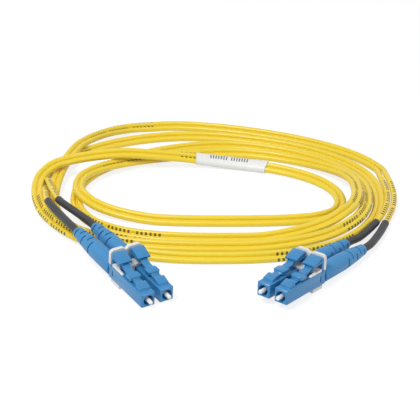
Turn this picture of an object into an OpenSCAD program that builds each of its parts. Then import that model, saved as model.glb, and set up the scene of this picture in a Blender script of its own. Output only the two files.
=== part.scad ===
// Duplex fibre optic patch cord, stored as a loose hand-wound coil.
// Two duplex plugs with small square housings are joined by one flat twin cord.
// Each plug unit is drawn along its own axis, with its nose face at x = 0 and its body
// towards -x. In this file "s" is the distance behind the nose face, so x = -s.
// The origin is on the surface that the cord lies on, under the middle of the two plugs.

/* [Plug places] */
// Distance between the two ferrules of one duplex plug
plug_pitch = 6.25; // [6.1:0.05:7.5]
// Right plug, nose face, sideways place
right_x = 15.9; // [14:0.1:17]
// Right plug, nose face, place from front to back
right_y = -28.3; // [-30:0.1:-28.3]
// Direction that the right plug points in
right_turn = 231.5; // [230.5:0.5:233]
// Rise of the right plug towards its cord, in degrees
right_tilt = -2.6; // [-3:0.1:-2]
// Left plug, nose face, sideways place
left_x = -17.2; // [-18:0.1:-16]
// Left plug, nose face, place from front to back
left_y = -27.1; // [-29:0.1:-27.1]
// Direction that the left plug points in
left_turn = -57.2; // [-59:0.1:-57]
// Rise of the left plug towards its cord, in degrees
left_tilt = 5.6; // [5.6:0.1:7]

/* [Front housing] */
// Width and height of the square housing bar
housing_w = 4.5; // [4.3:0.05:4.8]
// Length of the front housing from its nose face
housing_l = 17.8; // [17:0.1:20]
// Round on the long edges of the housing
housing_round = 0.35; // [0.1:0.05:0.6]
// Chamfer round the nose face
nose_chamfer = 0.3; // [0.1:0.05:0.5]
// Diameter of the open bore round the ferrule
nose_bore_d = 3.2; // [3:0.05:3.4]
// Depth of the open bore round the ferrule
nose_bore_l = 3.6; // [3:0.1:4]
// Thickness of the shoulder that the ferrule holder rests on
shoulder_t = 0.8; // [0.5:0.05:1]
// Diameter of the spring chamber behind the shoulder
chamber_d = 3.4; // [3.3:0.05:3.6]

/* [Ferrule] */
// Diameter of the ceramic ferrule
ferrule_d = 1.249; // [1.249:0.001:1.26]
// Length of the ceramic ferrule
ferrule_l = 6.9; // [6.5:0.1:7.5]
// How far the ferrule stands out of the nose face
ferrule_out = 1.8; // [1:0.1:2.2]
// Length of the holder's six-sided flange
flange_l = 1.2; // [0.8:0.1:1.6]
// Diameter of the holder's tubular stem
stem_d = 1.5; // [1.3:0.05:1.7]
// Length of the holder's tubular stem
stem_l = 1.95; // [1.5:0.05:2.5]

/* [Spring] */
// Length of the spring as fitted
spring_l = 5.2; // [4.6:0.1:5.4]
// Mean diameter of the spring
spring_d = 2.3; // [2.2:0.05:2.4]
// Thickness of the spring wire
spring_wire = 0.4; // [0.3:0.05:0.45]
// Number of turns of the spring
spring_turns = 5; // [4:1:5]

/* [Latch] */
// Distance from the nose face to the latch's root
latch_s = 5; // [4.6:0.1:5.4]
// Length of the latch from its root to its tail
latch_l = 9; // [8.8:0.1:9.2]
// Width of the latch arm
latch_arm_w = 2.4; // [2:0.1:2.6]
// Width of the latch across its two catches
latch_catch_w = 3.8; // [3.4:0.1:4.4]
// Thickness of the latch arm
latch_t = 0.65; // [0.5:0.05:0.7]

/* [Trigger] */
// Width of the trigger
trigger_w = 4.2; // [3.8:0.1:4.4]
// Length of the trigger plate in front of its legs
trigger_l = 4.8; // [4:0.1:5]
// Height of the trigger's highest edge above the housing
trigger_h = 4.6; // [4.55:0.05:4.8]
// Thickness of the trigger plate
trigger_t = 0.65; // [0.5:0.05:0.8]

/* [Rear body] */
// Length of the rear body's visible collar
collar_l = 1.8; // [1.5:0.1:2.5]
// Length of the spring seat in front of the rear body's insert
seat_l = 1.45; // [1:0.05:1.8]

/* [Crimp] */
// Diameter of the metal crimp body
crimp_d = 2.5; // [2.4:0.05:2.6]
// Length of the crimp body's knurled barrel
crimp_barrel_l = 4.85; // [4:0.05:6]
// Wall of the crimp sleeve
crimp_wall = 0.25; // [0.2:0.01:0.3]

/* [Boot] */
// Diameter of the boot at the plug
boot_d = 5.6; // [5.4:0.05:5.8]
// Width of the boot across its flat sides
boot_flat_w = 5.2; // [5:0.05:5.5]
// Diameter of the boot at the cord
boot_end_d = 3.5; // [3.4:0.05:4]
// Length of the boot
boot_l = 23.9; // [21:0.1:25]
// Number of rings of bending slots in the boot
boot_slots = 5; // [3:1:6]
// Width of a bending slot
boot_slot_w = 0.6; // [0.4:0.05:0.8]

/* [Shrink sleeve] */
// Outer diameter of the shrink sleeve over each leg
sleeve_d = 2.5; // [2.4:0.05:2.6]
// How far along a leg's hand-laid points the shrink sleeve reaches
sleeve_reach = 2; // [1:0.5:2.5]

/* [Duplex clip] */
// How far the clip reaches below the plug's axis
clip_drop = 3.3; // [3.1:0.05:3.6]
// Height of the clip's humps above the plug's axis
clip_h = 7.1; // [6.8:0.1:7.4]
// Thickness of the clip's plates
clip_t = 0.9; // [0.7:0.05:1]

/* [Cord] */
// Diameter of one leg of the twin cord
leg_d = 2; // [1.8:0.05:2]
// Distance between the two legs of the twin cord
leg_pitch = 2.1; // [2.05:0.01:2.15]
// Lean of the twin cord at the back and front of the coil
cord_lean = 35; // [30:1:40]
// Room kept between passes of the cord that lie on each other
coil_gap = 0.8; // [0.75:0.05:0.9]

/* [Label] */
// Thickness of the label's wrapped band
label_t = 0.25; // [0.15:0.05:0.4]
// Room between the label and the cord
label_gap = 0.1; // [0.05:0.05:0.2]

/* [Hidden] */
$fn = 48;
eps = 0.01;

// ---- Clearances ----
slide_gap = 0.1;
seat_gap = 0.05;
bond_gap = 0.01;

// ---- Places along a plug unit, as distances behind the nose face ----
half_w = housing_w / 2;
shoulder_s = nose_bore_l + shoulder_t;
flange_s = shoulder_s + seat_gap;
stem_s = flange_s + flange_l;
holder_end = stem_s + stem_l;
ferrule_s = -ferrule_out;
ferrule_end = ferrule_s + ferrule_l;
tip_chamfer_l = 0.35;
tip_chamfer_r = 0.2;
press_taper = 0.03;
spring_s = stem_s + seat_gap;
seat_s = spring_s + spring_l + seat_gap;
pocket_s = seat_s + seat_l;
body_end = housing_l + collar_l;
crimp_flange_l = 0.5;
crimp_flange_s = body_end + seat_gap;
barrel_s = crimp_flange_s + crimp_flange_l;
barrel_end = barrel_s + crimp_barrel_l;
crimp_sleeve_s = barrel_s + 0.25;
crimp_sleeve_end = barrel_end + 2.5;
jacket_s = barrel_end + 0.3;
boot_s = body_end + 0.45;
boot_end = boot_s + boot_l;
boot_taper_s = boot_s + boot_l * 0.48;
sleeve_s = crimp_sleeve_end + 0.5;

// ---- Diameters and walls that follow from what they fit ----
stem_bore_d = 1;
fibre_d = 0.9;
fibre_s = ferrule_end + 1.3;
flange_d = chamber_d - 2 * slide_gap;
pocket_w = housing_w - 1;
insert_w = pocket_w - 2 * seat_gap;
seat_d = chamber_d - 2 * slide_gap;
crimp_bore_d = fibre_d + 2 * slide_gap;
crimp_flange_d = housing_w - 0.7;
barrel_d = crimp_d + 2 * seat_gap;
crimp_sleeve_bore = barrel_d + 2 * seat_gap;
crimp_sleeve_d = crimp_sleeve_bore + 2 * crimp_wall;
sleeve_bore_d = leg_d + 2 * seat_gap;
boot_step_s = crimp_sleeve_end + 0.25;

// ---- Latch and trigger ----
knuckle_r = 0.36;
knuckle_gap = 0.06;
latch_z = half_w + 0.65;
root_s = 2;
root_w = 3.4;
root_front_z = half_w + 0.65;
root_z = latch_z + knuckle_r + knuckle_gap + 0.25;
latch_end = latch_s + latch_l;
catch_s = latch_s + 2.4;
catch_end = latch_s + 5.4;
tail_l = 1.4;
tail_rise = 1.45;
trigger_s = housing_l + 0.45;
trigger_z = half_w + 0.5;
trigger_front = trigger_s - trigger_l;
trigger_top = half_w + trigger_h;

// ---- Duplex clip ----
clip_half_w = (plug_pitch + housing_w) / 2 - 0.08;
clip_web_w = plug_pitch - housing_w - 2 * slide_gap;
clip_rail_s = latch_s + 6.7;
clip_plate_s = latch_end + 0.6;
clip_plate_end = housing_l - 0.1;
clip_foot_s = latch_end - 0.6;
clip_foot_end = housing_l + 0.6;
clip_wall_s = trigger_s + knuckle_r + 0.2;
clip_wall_end = clip_wall_s + clip_t + 0.25;
clip_v = 0.8;

// ---- Coil of the twin cord ----
// The angle t counts counter-clockwise from +X, over several turns, from the right plug's
// split to the left plug's split. The lists hold the reach of each half turn in order: to
// the right and left at t = 0, 180, 360 ..., to the back and front at t = 90, 270, 450 ...
coil_x = -2;
coil_y = 53.9;
coil_start = 15;
coil_end = 1590;
coil_step = 5;
ring_every = 3;
tuck_from = 1395;
side_reach = [62, 53.5, 53.5, 49, 49, 45, 44.5, 60, 58, 57];
deep_reach = [57, 47, 37, 41, 30, 28, 21, 56, 46.5];
crest_shift = [-14, 4, 4, 4, 6, 6, -5, -2, -8];
// Squareness of the loops: 2 is an ellipse, more is squarer
back_square = 1.9;
front_square = 2.5;

// ---- Label on the innermost back pass, from one ring of the coil to another ----
label_start = 1140;
label_end = 1170;

// ---- Free legs between the shrink sleeves and the coil, points chosen by hand ----
right_outer_points = [
  [51.2, 14.1, 1.6], [55.2, 24.7, 1.4], [58.9, 35.7, 2.2],
  [60.5, 45.7, 3.6], [60.5, 54.7, 4.4], [59.9, 62.2, 4.8]
];
right_inner_points = [
  [45.8, 13.8, 1.8], [52.1, 24, 2.1], [56.1, 33.7, 2.6],
  [58.1, 43.7, 2.9], [58.5, 53.7, 3.2], [57.8, 62.2, 3.9]
];
left_outer_points = [
  [-49.6, 18.7, 6.9], [-55.1, 29.9, 7], [-57.6, 42.7, 5], [-58.9, 53.2, 1.8],
  [-61, 59.7, 1.2], [-60.3, 65.7, 1.2], [-57.4, 72.3, 1.4]
];
left_inner_points = [
  [-45.2, 21.5, 6.9], [-51.8, 31.3, 6.9], [-55.2, 41.7, 6.3], [-57.6, 51.7, 4.7],
  [-58.8, 58.2, 2.5], [-58.1, 65.2, 1.2], [-55.4, 71.2, 1.2]
];

ENDS = ["right", "left"];
UNITS = ["outer", "inner"];
PIECES = [
  "front_housing", "latch", "rear_body", "trigger", "ferrule", "ferrule_holder", "spring",
  "crimp_body", "crimp_sleeve", "buffered_fibre", "boot", "shrink_sleeve", "leg"
];

// ======== Helpers for the plug pieces ========

// A solid turned round the unit's axis, from an outline of [radius, s] points
module turned(outline) {
  rotate([0, -90, 0]) rotate_extrude() polygon(outline);
}

// A round bar or bore from one s to another
module rod(s0, s1, d) {
  translate([-s1, 0, 0]) rotate([0, 90, 0]) cylinder(d = d, h = s1 - s0);
}

// A square block centred on the unit's axis plane
module block(s0, s1, w, z0, z1) {
  translate([-s1, -w / 2, z0]) cube([s1 - s0, w, z1 - z0]);
}

// A pin or socket that runs across the unit
module cross_rod(s, z, d, w) {
  translate([-s, w / 2, z]) rotate([90, 0, 0]) cylinder(d = d, h = w);
}

// A side outline of [s, z] points, with a width across the unit
module side_cut(outline, w) {
  translate([0, w / 2, 0]) rotate([90, 0, 0]) linear_extrude(w) polygon([for (p = outline) [-p[0], p[1]]]);
}

// A plan outline of [s, half width] points down one side, mirrored to the other side
module plan_cut(outline, z0, z1) {
  n = len(outline);
  one_side = [for (p = outline) [-p[0], p[1]]];
  other_side = [for (i = [n - 1:-1:0]) [-outline[i][0], -outline[i][1]]];
  translate([0, 0, z0]) linear_extrude(z1 - z0) polygon(concat(one_side, other_side));
}

// A square bar with rounded long edges, centred on the unit's axis
module round_bar(s0, s1, w, r) {
  translate([-s1, 0, 0]) rotate([90, 0, 90]) linear_extrude(s1 - s0) {
    square([w, w - 2 * r], center = true);
    square([w - 2 * r, w], center = true);
    for (y = [-1, 1]) for (z = [-1, 1]) translate([y * (w / 2 - r), z * (w / 2 - r)]) circle(r = r);
  }
}

// ======== Plug pieces, each centred on its unit's axis ========

// Square housing with the open nose bore, the spring chamber and the pocket for the rear body
module front_housing() {
  c = nose_chamfer;
  nose = [[0, half_w - c], [c, half_w], [housing_l, half_w]];
  nose_side = concat(nose, [[housing_l, -half_w], [c, -half_w], [0, c - half_w]]);
  lug_s = housing_l - 0.75;
  color("#4a8fcb") difference() {
    union() {
      intersection() {
        round_bar(0, housing_l, housing_w, housing_round);
        side_cut(nose_side, housing_w);
        plan_cut(nose, -half_w, half_w);
      }
      side_cut(
        [
          [root_s, half_w - eps], [root_s + 0.15, root_front_z], [latch_s - 0.6, root_z], [latch_s, root_z],
          [latch_s, half_w - eps]
        ],
        root_w
      );
    }
    rod(-eps, nose_bore_l, nose_bore_d);
    rod(0, shoulder_s + eps, stem_d + 4 * slide_gap);
    rod(shoulder_s, pocket_s + eps, chamber_d);
    block(pocket_s, housing_l + eps, pocket_w, -pocket_w / 2, pocket_w / 2);
    cross_rod(latch_s, latch_z, 2 * (knuckle_r + knuckle_gap), root_w + 1);
    block(lug_s, lug_s + 0.5, housing_w + 1, -0.9, 0.9);
  }
}

// Spring latch on top: a knuckle at its root, two catches and a rising tail under the trigger
module latch() {
  z = latch_z;
  tail_s = latch_end - tail_l;
  tail_z = z + 0.6;
  under = [[latch_s, z - knuckle_r + 0.05], [catch_s, z - 0.1], [catch_end, z + 0.02], [tail_s, tail_z]];
  over = [
    [tail_s, tail_z + latch_t], [catch_end + 0.1, z + latch_t - 0.05], [catch_s, z + latch_t - 0.05],
    [catch_s - 0.5, z + knuckle_r], [latch_s, z + knuckle_r]
  ];
  tail = [[latch_end, z + tail_rise], [latch_end, z + tail_rise + latch_t]];
  arm = latch_arm_w / 2;
  wide = latch_catch_w / 2;
  plan = [
    [latch_s, arm + 0.1], [catch_s - 0.1, arm], [catch_s - 0.1, wide - 0.35], [catch_s + 0.25, wide],
    [catch_end - 0.35, wide], [catch_end, wide - 0.35], [catch_end, arm], [latch_end, arm]
  ];
  color("#4a8fcb") {
    intersection() {
      side_cut(concat(under, tail, over), latch_catch_w);
      plan_cut(plan, z - 1, z + 3);
    }
    cross_rod(latch_s, z, 2 * knuckle_r, latch_arm_w + 0.2);
  }
}

// Trigger: a sloping plate on two legs, with side ribs and a grip recess on each side
module trigger() {
  s0 = trigger_front;
  z0 = trigger_top - 1.3;
  heel = trigger_s + 0.35;
  plate = [
    [s0, z0 - trigger_t], [s0, z0], [trigger_s - 1, trigger_top], [trigger_s - 0.3, trigger_top],
    [heel, trigger_top - 0.7], [heel, trigger_z], [trigger_s - 0.35, trigger_z],
    [trigger_s - 0.35, trigger_top - 1.3], [trigger_s - 0.8, trigger_top - 0.8]
  ];
  rib = [
    [s0 + 0.9, z0 - 0.55], [s0 + 0.9, z0 - 0.95], [trigger_s - 0.3, trigger_top - 1.65],
    [trigger_s - 0.3, trigger_top - 0.9]
  ];
  recess = [
    [s0 + 1.3, z0 - 0.45], [s0 + 1.3, z0 - 0.15], [trigger_s - 0.5, trigger_top - 0.45],
    [trigger_s - 0.5, trigger_top - 0.95]
  ];
  rib_w = 0.6;
  color("#4a8fcb") {
    difference() {
      union() {
        side_cut(plate, trigger_w);
        for (y = [-1, 1]) translate([0, y * (trigger_w - rib_w) / 2, 0]) side_cut(rib, rib_w);
      }
      for (y = [-1, 1]) translate([0, y * trigger_w / 2, 0]) side_cut(recess, 2 * rib_w - 0.3);
      block(s0, heel + 1, trigger_w - 2.4, trigger_z - 1, trigger_top - 1.5);
    }
    for (y = [-1, 1]) translate([0, y * (trigger_w - 1.2) / 2, 0]) cross_rod(trigger_s, trigger_z, 2 * knuckle_r, 1.2);
  }
}

// Rear body: spring seat, square insert with side lugs, and a collar that carries the trigger
module rear_body() {
  lug_s = housing_l - 0.7;
  color("#4488c4") difference() {
    union() {
      rod(seat_s, pocket_s + 2 * seat_gap, seat_d);
      block(pocket_s + seat_gap, housing_l + eps, insert_w, -insert_w / 2, insert_w / 2);
      round_bar(housing_l, body_end, housing_w, housing_round);
      block(lug_s, lug_s + 0.4, housing_w - 0.2, -0.8, 0.8);
      block(trigger_s - 0.4, trigger_s + 0.4, trigger_w - 0.4, half_w - eps, trigger_z - 0.12);
    }
    rod(seat_s - eps, body_end, crimp_bore_d + 0.4);
    rod(pocket_s + 0.6, body_end + eps, crimp_d + 2 * bond_gap);
    cross_rod(trigger_s, trigger_z, 2 * (knuckle_r + knuckle_gap), trigger_w + 1);
  }
}

// White ceramic ferrule: chamfered tip, ground cylinder, and a slight taper where it is pressed in its holder
module ferrule() {
  r = ferrule_d / 2;
  color("#f4f4f2") turned([
    [0, ferrule_s], [r - tip_chamfer_r, ferrule_s], [r, ferrule_s + tip_chamfer_l], [r, nose_bore_l],
    [r - press_taper, ferrule_end], [0, ferrule_end]
  ]);
}

// Metal holder bonded to the ferrule: neck, six-sided flange and tubular stem
module ferrule_holder() {
  color("#c9c6bd") difference() {
    union() {
      rod(nose_bore_l + 0.3, flange_s + eps, stem_d + 0.2);
      translate([-stem_s, 0, 0]) rotate([0, 90, 0]) cylinder(d = flange_d, h = flange_l, $fn = 6);
      rod(stem_s - eps, holder_end, stem_d);
    }
    rod(nose_bore_l, ferrule_end + bond_gap, ferrule_d + 2 * bond_gap);
    rod(ferrule_end, holder_end + eps, stem_bore_d);
  }
}

// Spring between the holder's flange and the rear body's seat
module spring() {
  rings = 8 * spring_turns;
  run = spring_l - spring_wire - 2 * seat_gap;
  frames = [
    for (i = [0:rings])
      let (
        a = 360 * spring_turns * i / rings,
        at = [-(spring_s + seat_gap + spring_wire / 2 + run * i / rings), spring_d / 2 * cos(a), spring_d / 2 * sin(a)],
        along = unit_of([-run / (PI * spring_d * spring_turns), -sin(a), cos(a)]),
        out = [0, cos(a), sin(a)]
      )
      [at, out, cross(along, out)]
  ];
  color("#b9bcc0") tube(frames, round_section(spring_wire, 6));
}

// Nickel-plated crimp body: pressed-in tube, flange and knurled barrel
module crimp_body() {
  r = crimp_d / 2;
  grooves = floor((crimp_barrel_l - 1) / 0.8);
  color("#c8c9cb") difference() {
    turned([
      [0, pocket_s + 0.65], [r, pocket_s + 0.65], [r, crimp_flange_s], [crimp_flange_d / 2, crimp_flange_s],
      [crimp_flange_d / 2, barrel_s], [barrel_d / 2, barrel_s], [barrel_d / 2, barrel_end], [0, barrel_end]
    ]);
    rod(pocket_s, barrel_end + eps, crimp_bore_d);
    for (i = [1:grooves]) difference() {
      rod(barrel_s + 0.8 * i, barrel_s + 0.8 * i + 0.3, barrel_d + 1);
      rod(barrel_s + 0.8 * i - 1, barrel_s + 0.8 * i + 1, barrel_d - 0.2);
    }
  }
}

// Crimp sleeve: wide over the barrel, crimped down over the leg's jacket
module crimp_sleeve() {
  wide = crimp_sleeve_d / 2;
  slim = sleeve_bore_d / 2 + crimp_wall;
  step = barrel_end + 0.1;
  color("#bfc1c4") difference() {
    turned([
      [0, crimp_sleeve_s], [wide, crimp_sleeve_s], [wide, step], [slim, step + 0.5],
      [slim, crimp_sleeve_end], [0, crimp_sleeve_end]
    ]);
    rod(crimp_sleeve_s - eps, step, crimp_sleeve_bore);
    rod(step - eps, crimp_sleeve_end + eps, sleeve_bore_d);
  }
}

// Buffered fibre from the holder's stem to the cut end of the leg's jacket
module buffered_fibre() {
  color("#f2e6b0") rod(fibre_s, jacket_s - seat_gap, fibre_d);
}

// Flexible boot: full and flat-sided at the plug, tapered at the cord, with staggered slots
module boot() {
  big = boot_d / 2;
  small = boot_end_d / 2;
  mouth = [[0, boot_s], [big - 0.35, boot_s], [big, boot_s + 0.35], [big, boot_taper_s]];
  tail = [[small + (big - small) * 0.62, boot_s + boot_l * 0.72], [small, boot_end - 0.4], [small - 0.25, boot_end]];
  slot_s = boot_s + boot_l * 0.5;
  slot_pitch = (boot_end - 2 - slot_s) / (boot_slots - 1);
  color("#4a8fcb") difference() {
    intersection() {
      turned(concat(mouth, tail, [[0, boot_end]]));
      block(boot_s, boot_end, boot_flat_w, -boot_d, boot_d);
    }
    rod(boot_s - eps, barrel_s + 0.2, crimp_flange_d + 4 * seat_gap);
    rod(boot_s, boot_step_s, crimp_sleeve_d + 2 * seat_gap);
    rod(boot_s, boot_end + eps, sleeve_d + 2 * seat_gap);
    for (i = [0:boot_slots - 1]) for (side = [0, 180])
      rotate([side + 90 * (i % 2) - 55, 0, 0]) rotate([0, -90, 0])
        rotate_extrude(angle = 110) translate([1, slot_s + slot_pitch * i]) square([boot_d, boot_slot_w]);
  }
}

// Clip that holds two units side by side: foot, middle web, top plate with rails and a wall with two humps
module duplex_clip() {
  top = half_w + seat_gap;
  color("#ecebe6") {
    block(clip_plate_s, clip_wall_end, clip_web_w, -clip_drop, top + clip_t);
    block(clip_foot_s, clip_foot_end, 2 * clip_half_w, -clip_drop, -half_w - seat_gap);
    difference() {
      block(clip_rail_s, clip_plate_end, 2 * clip_half_w, top, top + clip_t);
      for (y = [-1, 1]) translate([0, y * plug_pitch / 2, 0])
        block(clip_rail_s - eps, clip_plate_s, latch_arm_w + 0.6, top - 1, top + clip_t + 1);
    }
    translate([-clip_wall_end, 0, 0]) rotate([90, 0, 90]) linear_extrude(clip_wall_end - clip_wall_s) hump_outline(top);
  }
}

// Front view of the clip's wall: two humps with rounded shoulders and a V between them
module hump_outline(base) {
  r = 1.2;
  w = clip_half_w;
  for (y = [-1, 1]) translate([y * (w - r), clip_h - r]) circle(r = r);
  for (y = [-1, 1]) translate([y * (w - r) - r, base]) square([2 * r, clip_h - r - base]);
  polygon([
    [r - w, base], [w - r, base], [w - r, clip_h], [clip_v + 0.3, clip_h], [0, clip_h - clip_v],
    [-clip_v - 0.3, clip_h], [r - w, clip_h]
  ]);
}

// ======== Where the plugs stand ========

// Undersides that the plug can rest on, as [s, depth below the axis]: nose, clip, full boot and boot's end
RESTS = [
  [0, half_w], [clip_foot_s, clip_drop], [clip_wall_end, clip_drop], [boot_taper_s, boot_d / 2],
  [boot_end, boot_end_d / 2]
];

// Height of the unit's axis at the nose, with the lowest underside on the surface
function nose_height(tilt) = max([for (rest = RESTS) rest[1] * cos(tilt) - rest[0] * sin(tilt)]);

// Place, turn and tilt of the plug at one end
function plug_pose(end) =
  end == "right"
    ? [[right_x, right_y, nose_height(right_tilt)], right_turn, right_tilt]
    : [[left_x, left_y, nose_height(left_tilt)], left_turn, left_tilt];

// Sideways place of a unit: "outer" is the one on the outer side of the coil
function unit_side(end, unit) =
  (end == "right" ? 1 : -1) * (unit == "outer" ? 1 : -1) * plug_pitch / 2;

module placed(end, side = 0) {
  pose = plug_pose(end);
  translate(pose[0]) rotate([0, 0, pose[1]]) rotate([0, pose[2], 0]) translate([0, side, 0]) children();
}

// ======== Vectors and swept tubes ========

function unit_of(v) = v / norm(v);

// Corners of a round section, counter-clockwise
function round_section(d, sides) =
  [for (k = [0:sides - 1]) d / 2 * [cos(360 * k / sides), sin(360 * k / sides)]];

// One closed tube through frames of [centre, across, down], with a section of [across, down] points
module tube(frames, section) {
  n = len(section);
  last = (len(frames) - 1) * n;
  points = [for (f = frames) for (p = section) f[0] + p[0] * f[1] + p[1] * f[2]];
  walls = [
    for (i = [0:len(frames) - 2]) for (k = [0:n - 1])
      let (a = i * n + k, b = i * n + (k + 1) % n)
      each [[a, a + n, b + n], [a, b + n, b]]
  ];
  caps = [for (k = [1:n - 2]) each [[0, k, k + 1], [last, last + k + 1, last + k]]];
  polyhedron(points, concat(walls, caps));
}

// ======== Route of the coil ========

function clamp_to(v, low, high) = max(low, min(high, v));

// Value between the entries of a list, passing smoothly through each entry
function eased(list, u) =
  let (
    v = clamp_to(u, 0, len(list) - 1),
    i = min(floor(v), len(list) - 2),
    f = v - i
  )
  list[i] + (list[i + 1] - list[i]) * (1 - cos(180 * f)) / 2;

function signed_pow(v, k) = sign(v) * pow(abs(v), k);

// Plan place of the cord's middle at angle t
function coil_plan(t) =
  let (
    c = cos(t),
    s = sin(t),
    k = 2 / ((back_square + front_square) / 2 + (back_square - front_square) / 2 * s)
  )
  [
    coil_x + eased(side_reach, t / 180) * signed_pow(c, k) + eased(crest_shift, t / 180 - 1 / 2) * s * s,
    coil_y + eased(deep_reach, t / 180 - 1 / 2) * signed_pow(s, k)
  ];

// From the cord's middle to its outer leg, leaning where the cord runs along X
function leg_offset(t) =
  let (
    run = unit_of(coil_plan(t + coil_step) - coil_plan(t - coil_step)),
    out = [run[1], -run[0]]
  )
  leg_pitch / 2 * [out[0], out[1] * cos(cord_lean), out[1] * sin(cord_lean)];

// Order in which passes are laid down: the last one was tucked under all the others
function laid(t) = t < tuck_from ? t : t - coil_end;

// What lies under sample i: [sample j, share of the way to j + 1, height of i's middle above it]
function supports(i, angles, plan, offs) =
  let (
    turn = 360 / coil_step,
    near = turn / 8,
    reach = leg_d + coil_gap,
    wide = reach + 3 * leg_pitch
  )
  [
    for (k = [-5:5]) if (k != 0)
      for (j = [max(0, i - turn * k - near):min(len(plan) - 2, i - turn * k + near)])
        if (laid(angles[j]) < laid(angles[i]) && norm(plan[i] - plan[j]) < wide)
          for (a = [-1, 1]) for (b = [-1, 1])
            let (
              p = plan[i] + a * [offs[i][0], offs[i][1]],
              q = plan[j] + b * [offs[j][0], offs[j][1]],
              r = plan[j + 1] + b * [offs[j + 1][0], offs[j + 1][1]] - q,
              f = (p - q) * r / (r * r),
              d = norm(p - q - f * r)
            )
            if (f > -0.01 && f < 1.01 && d < reach)
              [j, f, sqrt(reach * reach - d * d) + b * offs[j][2] * (1 - f) + b * offs[j + 1][2] * f - a * offs[i][2]]
  ];

// The highest and the mean of a list's entries around i
function around(list, i, w) = [for (j = [max(0, i - w):min(len(list) - 1, i + w)]) list[j]];
function total(list, i = 0) = i < len(list) ? list[i] + total(list, i + 1) : 0;
function mean(list) = total(list) / len(list);

// Heights of the samples after the cord has settled on the surface and on what lies under it
function settled(z, low, under, rounds) =
  rounds == 0 ? z :
  let (
    lifted = [
      for (i = [0:len(z) - 1])
        max(concat([low[i]], [for (u = under[i]) z[u[0]] * (1 - u[1]) + z[u[0] + 1] * u[1] + u[2]]))
    ],
    broad = [for (i = [0:len(z) - 1]) max(around(lifted, i, 3))],
    smooth = [for (i = [0:len(z) - 1]) mean(around(broad, i, 3))]
  )
  settled(smooth, low, under, rounds - 1);

// Extra height of the cord's middle where the label is wrapped round it
function label_lift(t) =
  t < label_start - coil_step || t > label_end + coil_step ? 0 : label_gap + label_t;

// Frames of the whole coil: [centre, across, down, run] at every sample
function coil_frames() =
  let (
    angles = [for (t = [coil_start:coil_step:coil_end]) t],
    plan = [for (t = angles) coil_plan(t)],
    offs = [for (t = angles) leg_offset(t)],
    low = [for (i = [0:len(angles) - 1]) leg_d / 2 + abs(offs[i][2]) + label_lift(angles[i])],
    under = [for (i = [0:len(plan) - 1]) supports(i, angles, plan, offs)],
    z = settled(low, low, under, 6),
    mid = [for (i = [0:len(plan) - 1]) [plan[i][0], plan[i][1], z[i]]],
    n = len(mid)
  )
  [
    for (i = [0:n - 1])
      let (
        run = mid[min(i + 1, n - 1)] - mid[max(i - 1, 0)],
        across = unit_of(offs[i]),
        down = unit_of(cross(run, across))
      )
      [mid[i], across, down, unit_of(cross(across, down))]
  ];

// Least room between the legs of different passes, measured on the rings' points
function least_gap(rings) =
  let (
    legs = [for (side = [-1, 1]) [for (f = rings) f[0] + side * leg_pitch / 2 * f[1]]],
    turn = 360 / (coil_step * ring_every),
    n = len(rings)
  )
  min([
    for (i = [0:n - 1]) for (k = [1:5])
      for (j = [i + turn * k - 3:min(n - 2, i + turn * k + 3)])
        for (a = legs) for (b = legs)
          let (r = b[j + 1] - b[j], f = clamp_to((a[i] - b[j]) * r / (r * r), 0, 1))
          norm(a[i] - b[j] - f * r)
  ]) - leg_d;

// ======== Cord pieces ========

// Six-sided section of the flat twin cord
twin_w = (leg_pitch + leg_d) / 2;
twin_section = [
  [twin_w, 0], [leg_pitch / 2, leg_d / 2], [-leg_pitch / 2, leg_d / 2],
  [-twin_w, 0], [-leg_pitch / 2, -leg_d / 2], [leg_pitch / 2, -leg_d / 2]
];

module cord_coil() {
  frames = coil_frames();
  rings = [for (i = [0:ring_every:len(frames) - 1]) frames[i]];
  echo(least_gap_mm = least_gap(rings));
  color("#f0cb35") tube(rings, twin_section);
}

// Bare wrapped label: a flat band round both legs of the cord
module label() {
  frames = coil_frames();
  rings = [for (t = [label_start:coil_step * ring_every:label_end]) frames[(t - coil_start) / coil_step]];
  color("#f2f2ef") difference() {
    tube(rings, grown_section(label_gap + label_t));
    tube(longer(rings), grown_section(label_gap));
  }
}

// The same rings with both end rings pushed out a little, for a bore that runs clear through
function longer(rings) =
  let (
    last = len(rings) - 1,
    head = unit_of(rings[0][0] - rings[1][0]),
    tail = unit_of(rings[last][0] - rings[last - 1][0])
  )
  [
    for (i = [0:last])
      let (push = i == 0 ? head : i == last ? tail : [0, 0, 0])
      [rings[i][0] + eps * push, rings[i][1], rings[i][2]]
  ];

// The twin section, larger by a wall all round
function grown_section(by) =
  let (
    w = twin_w + by * 1.2,
    h = leg_d / 2 + by,
    x = leg_pitch / 2 + by * 0.45
  )
  [[w, 0], [x, h], [-x, h], [-w, 0], [-x, -h], [x, -h]];

// Smooth curve through points with a direction at each: the place at u, where whole numbers are the points
function curve_at(points, runs, u) =
  let (
    i = clamp_to(floor(u), 0, len(points) - 2),
    f = u - i,
    p0 = points[i],
    p1 = points[i + 1],
    d = norm(p1 - p0)
  )
  (2 * f * f * f - 3 * f * f + 1) * p0 + (f * f * f - 2 * f * f + f) * d * runs[i]
    + (3 * f * f - 2 * f * f * f) * p1 + (f * f * f - f * f) * d * runs[i + 1];

// Place of a point of a unit in the part's own frame
function placed_point(pose, p) =
  let (
    turn = pose[1],
    tilt = pose[2],
    x = p[0] * cos(tilt) + p[2] * sin(tilt),
    z = -p[0] * sin(tilt) + p[2] * cos(tilt)
  )
  pose[0] + [x * cos(turn) - p[1] * sin(turn), x * sin(turn) + p[1] * cos(turn), z];

// Hand-laid points of one leg, from its boot to the coil
function leg_points(end, unit) =
  end == "right"
    ? (unit == "outer" ? right_outer_points : right_inner_points)
    : (unit == "outer" ? left_outer_points : left_inner_points);

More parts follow.
